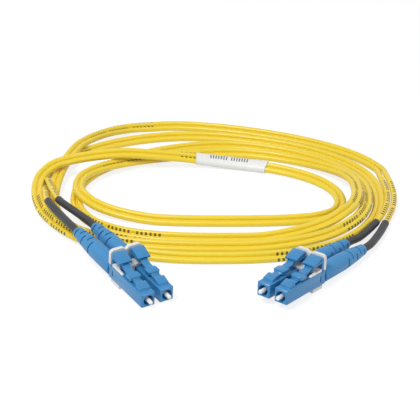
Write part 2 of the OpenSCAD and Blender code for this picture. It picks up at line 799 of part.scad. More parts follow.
// Rings of one leg: straight out of its boot, then along its own points to the coil's end
function leg_rings(end, unit) =
  let (
    pose = plug_pose(end),
    side = unit_side(end, unit),
    frames = coil_frames(),
    first = end == "right",
    coil = first ? frames[0] : frames[len(frames) - 1],
    goal = coil[0] + (unit == "outer" ? 1 : -1) * leg_pitch / 2 * coil[1],
    goal_run = (first ? 1 : -1) * coil[3],
    starts = [for (s = [jacket_s, sleeve_s, boot_end + leg_d]) placed_point(pose, [-s, side, 0])],
    plug_run = unit_of(starts[1] - starts[0]),
    route = concat([starts[2]], leg_points(end, unit), [goal - leg_d * goal_run]),
    last = len(route) - 1,
    bends = [for (i = [1:last - 1]) unit_of(route[i + 1] - route[i - 1])],
    runs = concat([plug_run], bends, [goal_run]),
    mids = concat(starts, [for (k = [1:2 * last]) curve_at(route, runs, k / 2)], [goal]),
    n = len(mids)
  )
  [
    for (i = [0:n - 1])
      let (
        run = i < 3 ? plug_run : i > n - 3 ? goal_run : unit_of(mids[i + 1] - mids[i - 1]),
        across = i > n - 3 ? (first ? 1 : -1) * coil[1] : unit_of(cross(run, [0, 0, 1]))
      )
      [mids[i], across, unit_of(cross(run, across))]
  ];

module leg(end, unit) {
  color("#f0cb35") tube(leg_rings(end, unit), round_section(leg_d, 8));
}

// Shrink sleeve over the leg, from inside the boot
module shrink_sleeve(end, unit) {
  whole = leg_rings(end, unit);
  rings = [for (i = [1:2 + 2 * sleeve_reach]) whole[i]];
  color("#3a3d42") difference() {
    tube(rings, round_section(sleeve_d, 8));
    tube(longer(rings), round_section(sleeve_bore_d, 8));
  }
}

// ======== Nodes ========

module unit_piece(piece) {
  if (piece == "front_housing") front_housing();
  if (piece == "latch") latch();
  if (piece == "rear_body") rear_body();
  if (piece == "trigger") trigger();
  if (piece == "ferrule") ferrule();
  if (piece == "ferrule_holder") ferrule_holder();
  if (piece == "spring") spring();
  if (piece == "crimp_body") crimp_body();
  if (piece == "crimp_sleeve") crimp_sleeve();
  if (piece == "buffered_fibre") buffered_fibre();
  if (piece == "boot") boot();
}

for (end = ENDS) for (unit = UNITS) for (piece = PIECES)
  union() {
    if (piece == "leg") leg(end, unit);
    else if (piece == "shrink_sleeve") shrink_sleeve(end, unit);
    else placed(end, unit_side(end, unit)) unit_piece(piece);
  }
placed("right") duplex_clip();  // right_duplex_clip
placed("left") duplex_clip();  // left_duplex_clip
cord_coil();
label();
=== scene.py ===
"""Looks of a duplex fibre patch cord that lies on a table as a loose coil.

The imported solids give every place. The cord, its free legs and its label are swept along a
route that keeps close to their solids, and the moulded plug pieces are softened copies of
theirs. Lengths are in millimetres in the classes and in metres in the meshes.
"""

from __future__ import annotations

import logging
import math
from dataclasses import dataclass, field, replace
from enum import Enum
from itertools import product
from typing import Any, Optional, Sequence

import bmesh
import bpy
import numpy as np
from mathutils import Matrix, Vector

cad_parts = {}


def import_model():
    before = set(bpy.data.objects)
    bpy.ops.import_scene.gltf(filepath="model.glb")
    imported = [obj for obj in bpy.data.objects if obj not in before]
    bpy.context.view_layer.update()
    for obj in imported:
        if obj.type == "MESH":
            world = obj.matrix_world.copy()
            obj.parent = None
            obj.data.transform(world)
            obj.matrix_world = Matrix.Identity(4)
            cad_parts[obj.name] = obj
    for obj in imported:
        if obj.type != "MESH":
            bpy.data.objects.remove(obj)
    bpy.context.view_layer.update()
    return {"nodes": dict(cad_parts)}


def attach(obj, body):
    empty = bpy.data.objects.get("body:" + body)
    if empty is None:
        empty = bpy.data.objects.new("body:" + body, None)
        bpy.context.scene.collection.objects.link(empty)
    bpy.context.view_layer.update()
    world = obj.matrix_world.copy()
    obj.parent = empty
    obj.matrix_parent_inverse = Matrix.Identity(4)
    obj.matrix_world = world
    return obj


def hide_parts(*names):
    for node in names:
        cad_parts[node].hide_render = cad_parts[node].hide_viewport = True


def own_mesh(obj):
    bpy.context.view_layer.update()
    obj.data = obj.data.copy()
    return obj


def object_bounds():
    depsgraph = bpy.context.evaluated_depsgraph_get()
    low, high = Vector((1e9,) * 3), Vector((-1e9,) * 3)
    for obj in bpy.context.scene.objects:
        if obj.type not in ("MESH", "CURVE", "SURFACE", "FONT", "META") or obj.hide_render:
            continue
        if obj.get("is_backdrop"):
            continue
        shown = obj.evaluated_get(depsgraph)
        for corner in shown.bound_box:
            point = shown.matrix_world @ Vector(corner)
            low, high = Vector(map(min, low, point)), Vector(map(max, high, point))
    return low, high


LOG = logging.getLogger("patch_cord")
MM = 0.001
ROOT_BODY = "cord_and_plugs"
WHITE = "#ffffff"
# How a copied solid is cleaned up, in metres and degrees: what is one corner, what is one flat
# face, which edges are rounded, and which still shade as edges there and on a sweep.
ONE_CORNER = 2e-6
ONE_FACE_DEG = 0.5
ROUNDED_EDGE_DEG = 28
SHADED_EDGE_DEG = 40
SWEPT_EDGE_DEG = 50


class End(Enum):
    """The two ends of the cord."""

    RIGHT = "right"
    LEFT = "left"


class Unit(Enum):
    """The two plug units of one end; outer is the one on the coil's outer side."""

    OUTER = "outer"
    INNER = "inner"

    @property
    def sign(self) -> int:
        """Side of the twin cord that this unit's leg joins."""
        return 1 if self is Unit.OUTER else -1


# ---------------------------------------------------------------- materials


def linear(hex_colour: str) -> tuple[float, float, float, float]:
    """Turn an sRGB hex colour into the linear value that a shader takes.

    Args:
        hex_colour: Six hex digits with a leading #.

    Returns:
        Linear red, green, blue and an alpha of 1.
    """
    parts = [int(hex_colour[i : i + 2], 16) / 255 for i in (1, 3, 5)]
    red, green, blue = (
        p / 12.92 if p <= 0.04045 else ((p + 0.055) / 1.055) ** 2.4 for p in parts
    )
    return red, green, blue, 1.0


def add_node(
    tree: bpy.types.NodeTree,
    kind: str,
    settings: Optional[dict[str, Any]] = None,
    inputs: Optional[dict[Any, Any]] = None,
) -> bpy.types.Node:
    """Add a node, set its properties, and fill or link its inputs.

    Args:
        tree: The node tree that gets the node.
        kind: Blender's name for the kind of node.
        settings: Property names and their values.
        inputs: Socket names or numbers, each with a value or with the socket that feeds it.

    Returns:
        The new node.
    """
    node = tree.nodes.new(kind)
    for name, value in (settings or {}).items():
        setattr(node, name, value)
    for name, value in (inputs or {}).items():
        if isinstance(value, bpy.types.NodeSocket):
            tree.links.new(value, node.inputs[name])
        else:
            node.inputs[name].default_value = value
    return node


def per_mm(size: float) -> float:
    """Scale of a texture whose features are this many millimetres across."""
    return 1 / (size * MM)


@dataclass(frozen=True)
class Finish:
    """One surface finish: what it is made of, and how its surface was made.

    The base draws a moulded or drawn surface with a fine grain and a slow change of tone.
    """

    name: str
    slot: str
    colour: str
    shade: str
    roughness: float
    ior: float = 1.5
    metallic: float = 0.0
    grain_mm: float = 0.25
    grain_depth_mm: float = 0.01
    grain_strength: float = 0.6
    tone_mm: float = 9.0
    wear_mm: float = 3.0
    wear_detail: float = 2.0
    wear_change: float = 0.05
    wear_from: tuple[float, float] = (0.3, 0.7)
    sockets: tuple[tuple[str, Any], ...] = ()

    def material(self) -> bpy.types.Material:
        """Return this finish's material, made on its first use."""
        found = bpy.data.materials.get(self.name)
        return found if found else self.build()

    def build(self) -> bpy.types.Material:
        """Make the material with its shader, tone and grain.

        Returns:
            The new material.
        """
        made = bpy.data.materials.new(self.name)
        made.use_nodes = True
        made.diffuse_color = linear(self.colour)
        tree = made.node_tree
        tree.nodes.clear()
        place = add_node(tree, "ShaderNodeTexCoord")
        colour = self.tone(tree, place)
        shader = add_node(
            tree,
            "ShaderNodeBsdfPrincipled",
            inputs={
                "Base Color": colour,
                "Metallic": self.metallic,
                "IOR": self.ior,
                "Normal": self.grain(tree, place),
                "Roughness": self.wear(tree, place),
                **dict(self.sockets),
            },
        )
        add_node(tree, "ShaderNodeOutputMaterial", inputs={"Surface": shader.outputs["BSDF"]})
        return made

    def tone(self, tree: bpy.types.NodeTree, place: bpy.types.Node) -> bpy.types.NodeSocket:
        """Slow change between the finish's colour and its shade.

        Args:
            tree: The material's nodes.
            place: The texture coordinates.

        Returns:
            The colour's socket.
        """
        cloud = add_node(
            tree,
            "ShaderNodeTexNoise",
            inputs={
                "Vector": place.outputs["Object"],
                "Scale": per_mm(self.tone_mm),
                "Detail": 3.0,
            },
        )
        return add_node(
            tree,
            "ShaderNodeMix",
            {"data_type": "RGBA"},
            {0: cloud.outputs["Fac"], 6: linear(self.colour), 7: linear(self.shade)},
        ).outputs[2]

    def wear(self, tree: bpy.types.NodeTree, place: bpy.types.Node) -> bpy.types.NodeSocket:
        """Small change of roughness over the surface, as making and handling leave it.

        Args:
            tree: The material's nodes.
            place: The texture coordinates.

        Returns:
            The roughness's socket.
        """
        cloud = add_node(
            tree,
            "ShaderNodeTexNoise",
            inputs={
                "Vector": place.outputs["Object"],
                "Scale": per_mm(self.wear_mm),
                "Detail": self.wear_detail,
            },
        )
        return add_node(
            tree,
            "ShaderNodeMapRange",
            inputs={
                "Value": cloud.outputs["Fac"],
                "From Min": self.wear_from[0],
                "From Max": self.wear_from[1],
                "To Min": self.roughness - self.wear_change,
                "To Max": self.roughness + self.wear_change,
            },
        ).outputs["Result"]

    def grain(self, tree: bpy.types.NodeTree, place: bpy.types.Node) -> bpy.types.NodeSocket:
        """Fine surface grain as a bump.

        Args:
            tree: The material's nodes.
            place: The texture coordinates.

        Returns:
            The normal's socket.
        """
        noise = add_node(
            tree,
            "ShaderNodeTexNoise",
            inputs={
                "Vector": place.outputs["Object"],
                "Scale": per_mm(self.grain_mm),
                "Detail": 2.0,
            },
        )
        return add_node(
            tree,
            "ShaderNodeBump",
            inputs={
                "Height": noise.outputs["Fac"],
                "Distance": self.grain_depth_mm * MM,
                "Strength": self.grain_strength,
            },
        ).outputs["Normal"]


@dataclass(frozen=True)
class DrawnMetalFinish(Finish):
    """Turned or drawn metal: fine scattered marks change its roughness."""

    metallic: float = 1.0
    wear_mm: float = 0.2
    wear_detail: float = 4.0
    wear_change: float = 0.08
    wear_from: tuple[float, float] = (0.0, 1.0)


@dataclass(frozen=True)
class TickedFinish(Finish):
    """Extruded or calendered surface with plain rows of ink ticks along it.

    The piece's own map gives millimetres along it (u) and the share of the way round its
    section (v). Runs of ticks repeat in sets with one left out between them, and each run starts
    with a whole group of ticks.
    """

    ink: str = "#2f2a1c"
    ink_cover: float = 0.85
    runs_every_mm: float = 99.0
    runs_in_set: int = 3
    run_from_mm: float = 94.0
    run_mm: float = 31.5
    tick_pitch_mm: float = 1.5
    tick_share: float = 0.5
    ticks_in_group: int = 6
    rows_v: tuple[float, ...] = (0.2, 0.95)
    row_half_v: float = 0.06

    def sums(self) -> list[tuple[str, str, Any, Any]]:
        """The sums that turn the piece's map into the cover of ink, in their order.

        Returns:
            Each sum's name and operation, and its two numbers or names of earlier sums.
        """
        made: list[tuple[str, str, Any, Any]] = [("ink", "MULTIPLY", "round", 0.0)]
        for middle in self.rows_v:
            made += [
                ("turned", "SUBTRACT", "round", middle - 0.5),
                ("wrapped", "FRACT", "turned", 0.0),
                ("aside", "SUBTRACT", "wrapped", 0.5),
                ("beside", "ABSOLUTE", "aside", 0.0),
                ("row", "LESS_THAN", "beside", self.row_half_v),
                ("ink", "MAXIMUM", "ink", "row"),
            ]
        every, pitch = self.runs_every_mm, self.tick_pitch_mm
        group, runs = self.ticks_in_group + 1, self.runs_in_set + 1
        made += [
            ("past", "SUBTRACT", "along", self.run_from_mm),
            ("turns", "DIVIDE", "past", every),
            ("part", "FRACT", "turns", 0.0),
            ("in run", "MULTIPLY", "part", every),
        ]
        # Each window lets the ink through over the first share of every such length.
        windows = (
            ("past", every, self.run_mm / every),
            ("past", every * runs, self.runs_in_set / runs),
            ("in run", pitch, self.tick_share),
            ("in run", pitch * group, self.ticks_in_group / group),
        )
        for line, length, share in windows:
            made += [
                ("turns", "DIVIDE", line, length),
                ("part", "FRACT", "turns", 0.0),
                ("open", "LESS_THAN", "part", share),
                ("ink", "MULTIPLY", "ink", "open"),
            ]
        return made + [("cover", "MULTIPLY", "ink", self.ink_cover)]

    def tone(self, tree: bpy.types.NodeTree, place: bpy.types.Node) -> bpy.types.NodeSocket:
        """The surface's colour with the ink's ticks over it.

        Args:
            tree: The material's nodes.
            place: The texture coordinates.

        Returns:
            The colour's socket.
        """
        base = super().tone(tree, place)
        split = add_node(tree, "ShaderNodeSeparateXYZ", inputs={0: place.outputs["UV"]})
        known: dict[Any, Any] = {"along": split.outputs[0], "round": split.outputs[1]}
        for name, operation, *values in self.sums():
            inputs = {i: known.get(value, value) for i, value in enumerate(values)}
            node = add_node(tree, "ShaderNodeMath", {"operation": operation}, inputs)
            known[name] = node.outputs[0]
        return add_node(
            tree,
            "ShaderNodeMix",
            {"data_type": "RGBA"},
            {0: known["cover"], 6: base, 7: linear(self.ink)},
        ).outputs[2]


# Glass-filled PBT, moulded: satin, with a fine spark-eroded grain that breaks up highlights.
MOULDED_PBT = Finish(
    "blue moulded PBT",
    "blue_plastic",
    "#3487be",
    "#2d7fb6",
    roughness=0.3,
    ior=1.54,
    grain_mm=0.3,
)
# Thermoplastic elastomer, moulded: the same blue, softer and duller, with a faint bloom.
BOOT_ELASTOMER = Finish(
    "blue moulded elastomer",
    "blue_boot",
    "#3e8cc1",
    "#3684b9",
    roughness=0.55,
    ior=1.5,
    grain_mm=0.4,
    sockets=(("Sheen Weight", 0.15), ("Sheen Roughness", 0.4)),
)
# Unfilled nylon, moulded: milky white, a little light goes into it and softens its edges.
CLIP_NYLON = Finish(
    "white moulded nylon",
    "white_plastic",
    "#e8e8e5",
    "#dfdfda",
    roughness=0.36,
    ior=1.53,
    sockets=(("Subsurface Weight", 0.2), ("Subsurface Scale", 0.0008)),
)
# Zirconia ceramic, ground and polished: hard white with a sharp gloss.
ZIRCONIA = Finish(
    "polished zirconia",
    "white_ceramic",
    "#f7f6f2",
    "#f0efe9",
    roughness=0.1,
    ior=2.1,
    grain_depth_mm=0.002,
)
# Nickel-plated brass, turned: warm grey metal with fine marks of the tool.
NICKEL_PLATE = DrawnMetalFinish(
    "nickel plate on turned brass", "plated_metal", "#c9c5bb", "#bdb9ae", roughness=0.28
)
# Stainless spring wire, drawn: bright, with scattered marks of the die.
SPRING_WIRE = DrawnMetalFinish(
    "drawn stainless wire", "spring_steel", "#c2c3c5", "#b4b6b9", roughness=0.22
)
# Tight buffer on the fibre, extruded: ivory, smooth and slightly waxy.
FIBRE_BUFFER = Finish(
    "ivory extruded buffer",
    "fibre_buffer",
    "#f0e6b8",
    "#e9dfae",
    roughness=0.35,
    grain_depth_mm=0.004,
)
# Heat-shrunk polyolefin: charcoal, semi-matt, with the fine pucker that shrinking leaves.
SHRUNK_TUBE = Finish(
    "charcoal shrunk polyolefin",
    "dark_sleeve",
    "#2e2f32",
    "#28292c",
    roughness=0.5,
    grain_mm=0.8,
    grain_depth_mm=0.03,
)
# Plasticised PVC, extruded: strong yellow with a soft wide gloss and a slightly uneven skin.
CORD_JACKET = TickedFinish(
    "yellow extruded PVC",
    "yellow_jacket",
    "#f0d534",
    "#eccd2c",
    roughness=0.36,
    ior=1.53,
    grain_mm=0.7,
    grain_depth_mm=0.012,
    tone_mm=25.0,
)
# The same jacket on the split legs, with a row of its own.
LEG_JACKET = replace(
    CORD_JACKET,
    name="yellow extruded PVC, split leg",
    run_from_mm=43.0,
    rows_v=(0.8,),
    row_half_v=0.09,
)
# Vinyl film: flat white, calendered, with a satin face and one plain row of ticks.
LABEL_FILM = TickedFinish(
    "white vinyl film",
    "white_label",
    "#e9e9e6",
    "#e2e2de",
    roughness=0.45,
    grain_depth_mm=0.004,
    ink="#4c4c50",
    runs_every_mm=100.0,
    run_from_mm=7.0,
    run_mm=14.2,
    tick_pitch_mm=0.95,
    ticks_in_group=7,
    rows_v=(0.02,),
    row_half_v=0.05,
)


# ---------------------------------------------------------------- plug places


@dataclass(frozen=True)
class PlugPose:
    """Place of one duplex plug: nose face at local x = 0, body towards -x."""

    end: End
    x: float
    y: float
    z: float
    turn: float
    tilt: float
    pitch: float = 6.25

    def side(self, unit: Unit) -> float:
        """Sideways place of a unit in the plug."""
        return (1 if self.end is End.RIGHT else -1) * unit.sign * self.pitch / 2

    @property
    def origin(self) -> np.ndarray:
        """Middle of the plug's nose face."""
        return np.array([self.x, self.y, self.z])

    @property
    def axes(self) -> np.ndarray:
        """The plug's forward, sideways and upward directions, as columns."""
        turn, tilt = math.radians(self.turn), math.radians(self.tilt)
        level = np.array([math.cos(turn), math.sin(turn), 0.0])
        sideways = np.array([-math.sin(turn), math.cos(turn), 0.0])
        up = np.array([0.0, 0.0, 1.0])
        forward = math.cos(tilt) * level - math.sin(tilt) * up
        upward = math.sin(tilt) * level + math.cos(tilt) * up
        return np.column_stack([forward, sideways, upward])

    def place(self, point: Sequence[float]) -> np.ndarray:
        """Turn a point of the plug into the part's frame.

        Args:
            point: Forward, sideways and upward place in the plug, in millimetres.

        Returns:
            The place in the part's frame, in millimetres.
        """
        return self.origin + self.axes @ np.array(point, float)

    def seen_from_plug(self, point: np.ndarray) -> np.ndarray:
        """Turn a point of the part's frame into the plug's own forward, sideways and upward."""
        return self.axes.T @ (point - self.origin)


POSES = {
    End.RIGHT: PlugPose(End.RIGHT, x=15.9, y=-28.3, z=4.227, turn=231.5, tilt=-2.6),
    End.LEFT: PlugPose(End.LEFT, x=-17.2, y=-27.1, z=2.239, turn=-57.2, tilt=5.6),
}


# ---------------------------------------------------------------- swept cords


def unit_of(v: np.ndarray) -> np.ndarray:
    """The vector with a length of 1."""
    return v / np.linalg.norm(v)


@dataclass
class Frame:
    """One station of a sweep: its middle and its section's two directions, in millimetres."""

    middle: np.ndarray
    across: np.ndarray
    down: np.ndarray


def lobes(radius: float, pitch: float, steps: int, waist: float) -> list[tuple[float, float]]:
    """Section of two round legs that a thin web joins.

    Args:
        radius: Radius of one leg.
        pitch: Distance between the legs.
        steps: Sides of one leg's arc.
        waist: Angle from the web at which a leg's arc starts, in degrees.

    Returns:
        Section points, across and down.
    """
    arc = [math.radians(-180 + waist + (360 - 2 * waist) * k / steps) for k in range(steps + 1)]
    right = [(pitch / 2 + radius * math.cos(a), radius * math.sin(a)) for a in arc]
    left = [(-x, -z) for x, z in right]
    return right + left


def circle(radius: float, sides: int) -> list[tuple[float, float]]:
    """Section of one round leg."""
    turn = 2 * math.pi / sides
    return [(radius * math.cos(turn * k), radius * math.sin(turn * k)) for k in range(sides)]


def placed_piece(bm: bmesh.types.BMesh, name: str) -> bpy.types.Object:
    """Turn a bmesh into an object in the scene, at the origin.

    Args:
        bm: The mesh that was built, which is freed.
        name: Name of the new object.

    Returns:
        The new object.
    """
    mesh = bpy.data.meshes.new(name)
    bm.to_mesh(mesh)
    bm.free()
    made = bpy.data.objects.new(name, mesh)
    bpy.context.scene.collection.objects.link(made)
    return made


def sweep(
    name: str,
    frames: Sequence[Frame],
    section: Sequence[tuple[float, float]],
    bore: float = 0.0,
) -> bpy.types.Object:
    """Carry a section along frames as one closed tube with a map of length and way round.

    Args:
        name: Name of the new piece.
        frames: Stations of the sweep.
        section: Points of the section, across and down.
        bore: Size of a bore right through the piece, as a share of the section; 0 for none.

    Returns:
        The new object, in metres, at the origin.
    """
    bm = bmesh.new()
    uv = bm.loops.layers.uv.new("Along and round")
    stations = [(f, 1.0) for f in frames]
    if bore:
        stations += [(f, bore) for f in reversed(frames)]
    rings = [
        [bm.verts.new(Vector(f.middle + r * (a * f.across + d * f.down)) * MM) for a, d in section]
        for f, r in stations
    ]
    middles = [f.middle for f, _ in stations]
    gaps = [float(np.linalg.norm(b - a)) for a, b in zip(middles, middles[1:])]
    lengths = np.cumsum([0.0] + gaps)
    count, last = len(section), len(rings) - 1
    for i in range(len(rings) if bore else last):
        j = 0 if i == last else i + 1
        for k in range(count):
            n = (k + 1) % count
            face = bm.faces.new((rings[i][k], rings[j][k], rings[j][n], rings[i][n]))
            face.smooth = True
            corners = ((i, k), (j, k), (j, k + 1), (i, k + 1))
            for loop, (row, col) in zip(face.loops, corners):
                loop[uv].uv = (lengths[row], col / count)
    if not bore:
        bm.faces.new(rings[0])
        bm.faces.new(list(reversed(rings[-1])))
    bmesh.ops.recalc_face_normals(bm, faces=bm.faces)
    made = placed_piece(bm, name)
    made.data.set_sharp_from_angle(angle=math.radians(SWEPT_EDGE_DEG))
    return made


def dress(
    piece: bpy.types.Object, finish: Finish, body: str, replaced: Sequence[str] = ()
) -> bpy.types.Object:
    """Give a new piece its finish and its body, and hide the solids that it stands for.

    Args:
        piece: The new piece.
        finish: Its finish.
        body: The body that it rides on.
        replaced: Solids that it stands for.

    Returns:
        The same piece.
    """
    piece.data.materials.clear()
    piece.data.materials.append(finish.material())
    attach(piece, body)
    if replaced:
        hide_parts(*replaced)
    LOG.info("%s: %d faces, %s", piece.name, len(piece.data.polygons), finish.name)
    return piece


@dataclass
class CoilRoute:
    """Route of the twin cord's middle, over several turns, and how it settles on itself.

    The angle t counts in degrees from +X, counter-clockwise from above, from the right end's
    split to the left end's split. Each list has one entry for each half turn: at the sides
    side_reach says how far out the cord lies and side_shift how far back, and at the front and
    back deep_reach says how far out it lies and crest_shift how far to the right. A turn is an
    ellipse where back_square or front_square is 2, and squarer above that. Where the cord runs
    along X, its section leans by lean degrees.

    From tuck_from on, the cord lies under the other turns. Passes keep room between them. Each
    round of settling takes the highest of hump stations on each side, and then the mean of
    spread stations.
    """

    leg_d: float = 2.0
    leg_pitch: float = 2.1
    lean: float = 35.0
    room: float = 0.4
    centre: tuple[float, float] = (-2.0, 53.9)
    start: int = 15
    end: int = 1590
    step: int = 5
    tuck_from: int = 1395
    side_reach: Sequence[float] = (62, 53.5, 53, 45.5, 49.5, 45, 44, 59, 57.5, 57)
    side_shift: Sequence[float] = (2, -2, -8, -6, -10, -3, -11, -3, -5, 0)
    deep_reach: Sequence[float] = (57, 47, 37, 41, 30, 28, 20.5, 54.5, 46.5)
    crest_shift: Sequence[float] = (-14, 4, 4, 4, 6, 6, -5, 1, -8)
    back_square: float = 1.9
    front_square: float = 2.5
    label_from: int = 1140
    label_to: int = 1170
    label_lift: float = 0.35
    rounds: int = 6
    hump: int = 3
    spread: int = 4
    turns_apart: int = 5
    overlap: float = 0.01
    frames: list[Frame] = field(default_factory=list)

    @staticmethod
    def eased(values: Sequence[float], u: float) -> float:
        """Value between the entries of a list, passing smoothly through each entry."""
        v = min(max(u, 0), len(values) - 1)
        i = min(math.floor(v), len(values) - 2)
        return values[i] + (values[i + 1] - values[i]) * (1 - math.cos(math.pi * (v - i))) / 2

    def plan(self, t: float) -> np.ndarray:
        """Place of the cord's middle at angle t, seen from above.

        Args:
            t: Angle along the coil, in degrees.

        Returns:
            The place, in millimetres.
        """
        c, s = math.cos(math.radians(t)), math.sin(math.radians(t))
        at_side, at_crest = t / 180, (t - 90) / 180
        mean = (self.back_square + self.front_square) / 2
        half = (self.back_square - self.front_square) / 2
        power = 2 / (mean + half * s)
        x = self.eased(self.side_reach, at_side) * math.copysign(abs(c) ** power, c)
        y = self.eased(self.deep_reach, at_crest) * math.copysign(abs(s) ** power, s)
        x += self.eased(self.crest_shift, at_crest) * s * s
        y += self.eased(self.side_shift, at_side) * c * c
        return np.array(self.centre) + np.array([x, y])

    def offset(self, t: float) -> np.ndarray:
        """From the cord's middle to its outer leg; the cord leans where it runs along X."""
        run = unit_of(self.plan(t + self.step) - self.plan(t - self.step))
        lean = math.radians(self.lean)
        out = np.array([run[1], -run[0] * math.cos(lean), -run[0] * math.sin(lean)])
        return self.leg_pitch / 2 * out

    def supports(
        self, i: int, angles: list[int], plan: np.ndarray, offs: np.ndarray
    ) -> list[tuple[int, float, float]]:
        """What lies under one station of the cord.

        Args:
            i: Number of the station.
            angles: Angle of every station.
            plan: Place of every station from above.
            offs: Offset to the outer leg at every station.

        Returns:
            Station under it, share of the way to the next one, and height needed above it.
        """
        laid = [t if t < self.tuck_from else t - self.end for t in angles]
        turn, reach = 360 // self.step, self.leg_d + self.room
        # A pass is looked for up to an eighth of a turn each way, where it's near enough to touch.
        beside, too_far = turn // 8, reach + 3 * self.leg_pitch
        found = []
        for k in (*range(-self.turns_apart, 0), *range(1, self.turns_apart + 1)):
            first, last = i - turn * k - beside, i - turn * k + beside
            for j in range(max(0, first), min(len(plan) - 2, last) + 1):
                if laid[j] >= laid[i] or np.linalg.norm(plan[i] - plan[j]) >= too_far:
                    continue
                for a, b in product((-1, 1), repeat=2):
                    p = plan[i] + a * offs[i][:2]
                    q = plan[j] + b * offs[j][:2]
                    r = plan[j + 1] + b * offs[j + 1][:2] - q
                    f = float((p - q) @ r / (r @ r))
                    d = float(np.linalg.norm(p - q - f * r))
                    if -self.overlap < f < 1 + self.overlap and d < reach:
                        rise = math.sqrt(reach * reach - d * d) - a * offs[i][2]
                        rise += b * offs[j][2] * (1 - f) + b * offs[j + 1][2] * f
                        found.append((j, f, rise))
        return found

    def settle(self) -> list[Frame]:
        """Let the cord rest on the table and on what lies under it.

        Returns:
            Stations of the whole coil, one every half step.
        """
        angles = list(range(self.start, self.end + 1, self.step))
        plan = np.array([self.plan(t) for t in angles])
        offs = np.array([self.offset(t) for t in angles])
        on_label = [self.label_from - self.step <= t <= self.label_to + self.step for t in angles]
        low = [self.leg_d / 2 + abs(o[2]) + self.label_lift * on for o, on in zip(offs, on_label)]
        stations, near = range(len(plan)), self.spread
        under = [self.supports(i, angles, plan, offs) for i in stations]
        z = list(low)
        for _ in range(self.rounds):
            z = [
                max([low[i]] + [z[j] * (1 - f) + z[j + 1] * f + rise for j, f, rise in under[i]])
                for i in stations
            ]
            z = [max(z[max(0, i - self.hump) : i + self.hump + 1]) for i in stations]
            z = [float(np.mean(z[max(0, i - near) : i + near + 1])) for i in stations]
        middles = self.between(np.column_stack([plan, z]))
        leans = self.between(offs)
        last = len(middles) - 1
        self.frames = []
        for i, (middle, lean) in enumerate(zip(middles, leans)):
            run = middles[min(i + 1, last)] - middles[max(i - 1, 0)]
            across = unit_of(lean)
            self.frames.append(Frame(middle, across, unit_of(np.cross(run, across))))
        return self.frames

    @staticmethod
    def between(rows: np.ndarray) -> list[np.ndarray]:
        """Add a row halfway between each two, on a smooth curve through all of them.

        Args:
            rows: One row for each station.

        Returns:
            The rows with the new ones between them.
        """
        count, made = len(rows), []
        for i in range(count - 1):
            before, after = rows[max(i - 1, 0)], rows[min(i + 2, count - 1)]
            # Weights of the cubic through four evenly spaced rows, at its middle.
            made += [rows[i], (9 * (rows[i] + rows[i + 1]) - before - after) / 16]
        return made + [rows[-1]]

    def part(self, t_from: float, t_to: float) -> list[Frame]:
        """Stations between two angles of the coil."""
        first, last = (round((t - self.start) * 2 / self.step) for t in (t_from, t_to))
        return self.frames[first : last + 1]


@dataclass
class TwinCord:
    """The flat twin cord of the coil: two round legs joined by a thin web."""

    route: CoilRoute
    arc_steps: int = 16
    waist: float = 15.0

    def build(self) -> bpy.types.Object:
        """Returns:
            The coil's piece.
        """
        frames = self.route.frames
        section = lobes(self.route.leg_d / 2, self.route.leg_pitch, self.arc_steps, self.waist)
        piece = sweep("twin_cord_coil", frames, section)
        dress(piece, CORD_JACKET, ROOT_BODY, ["cord_coil"])
        return piece


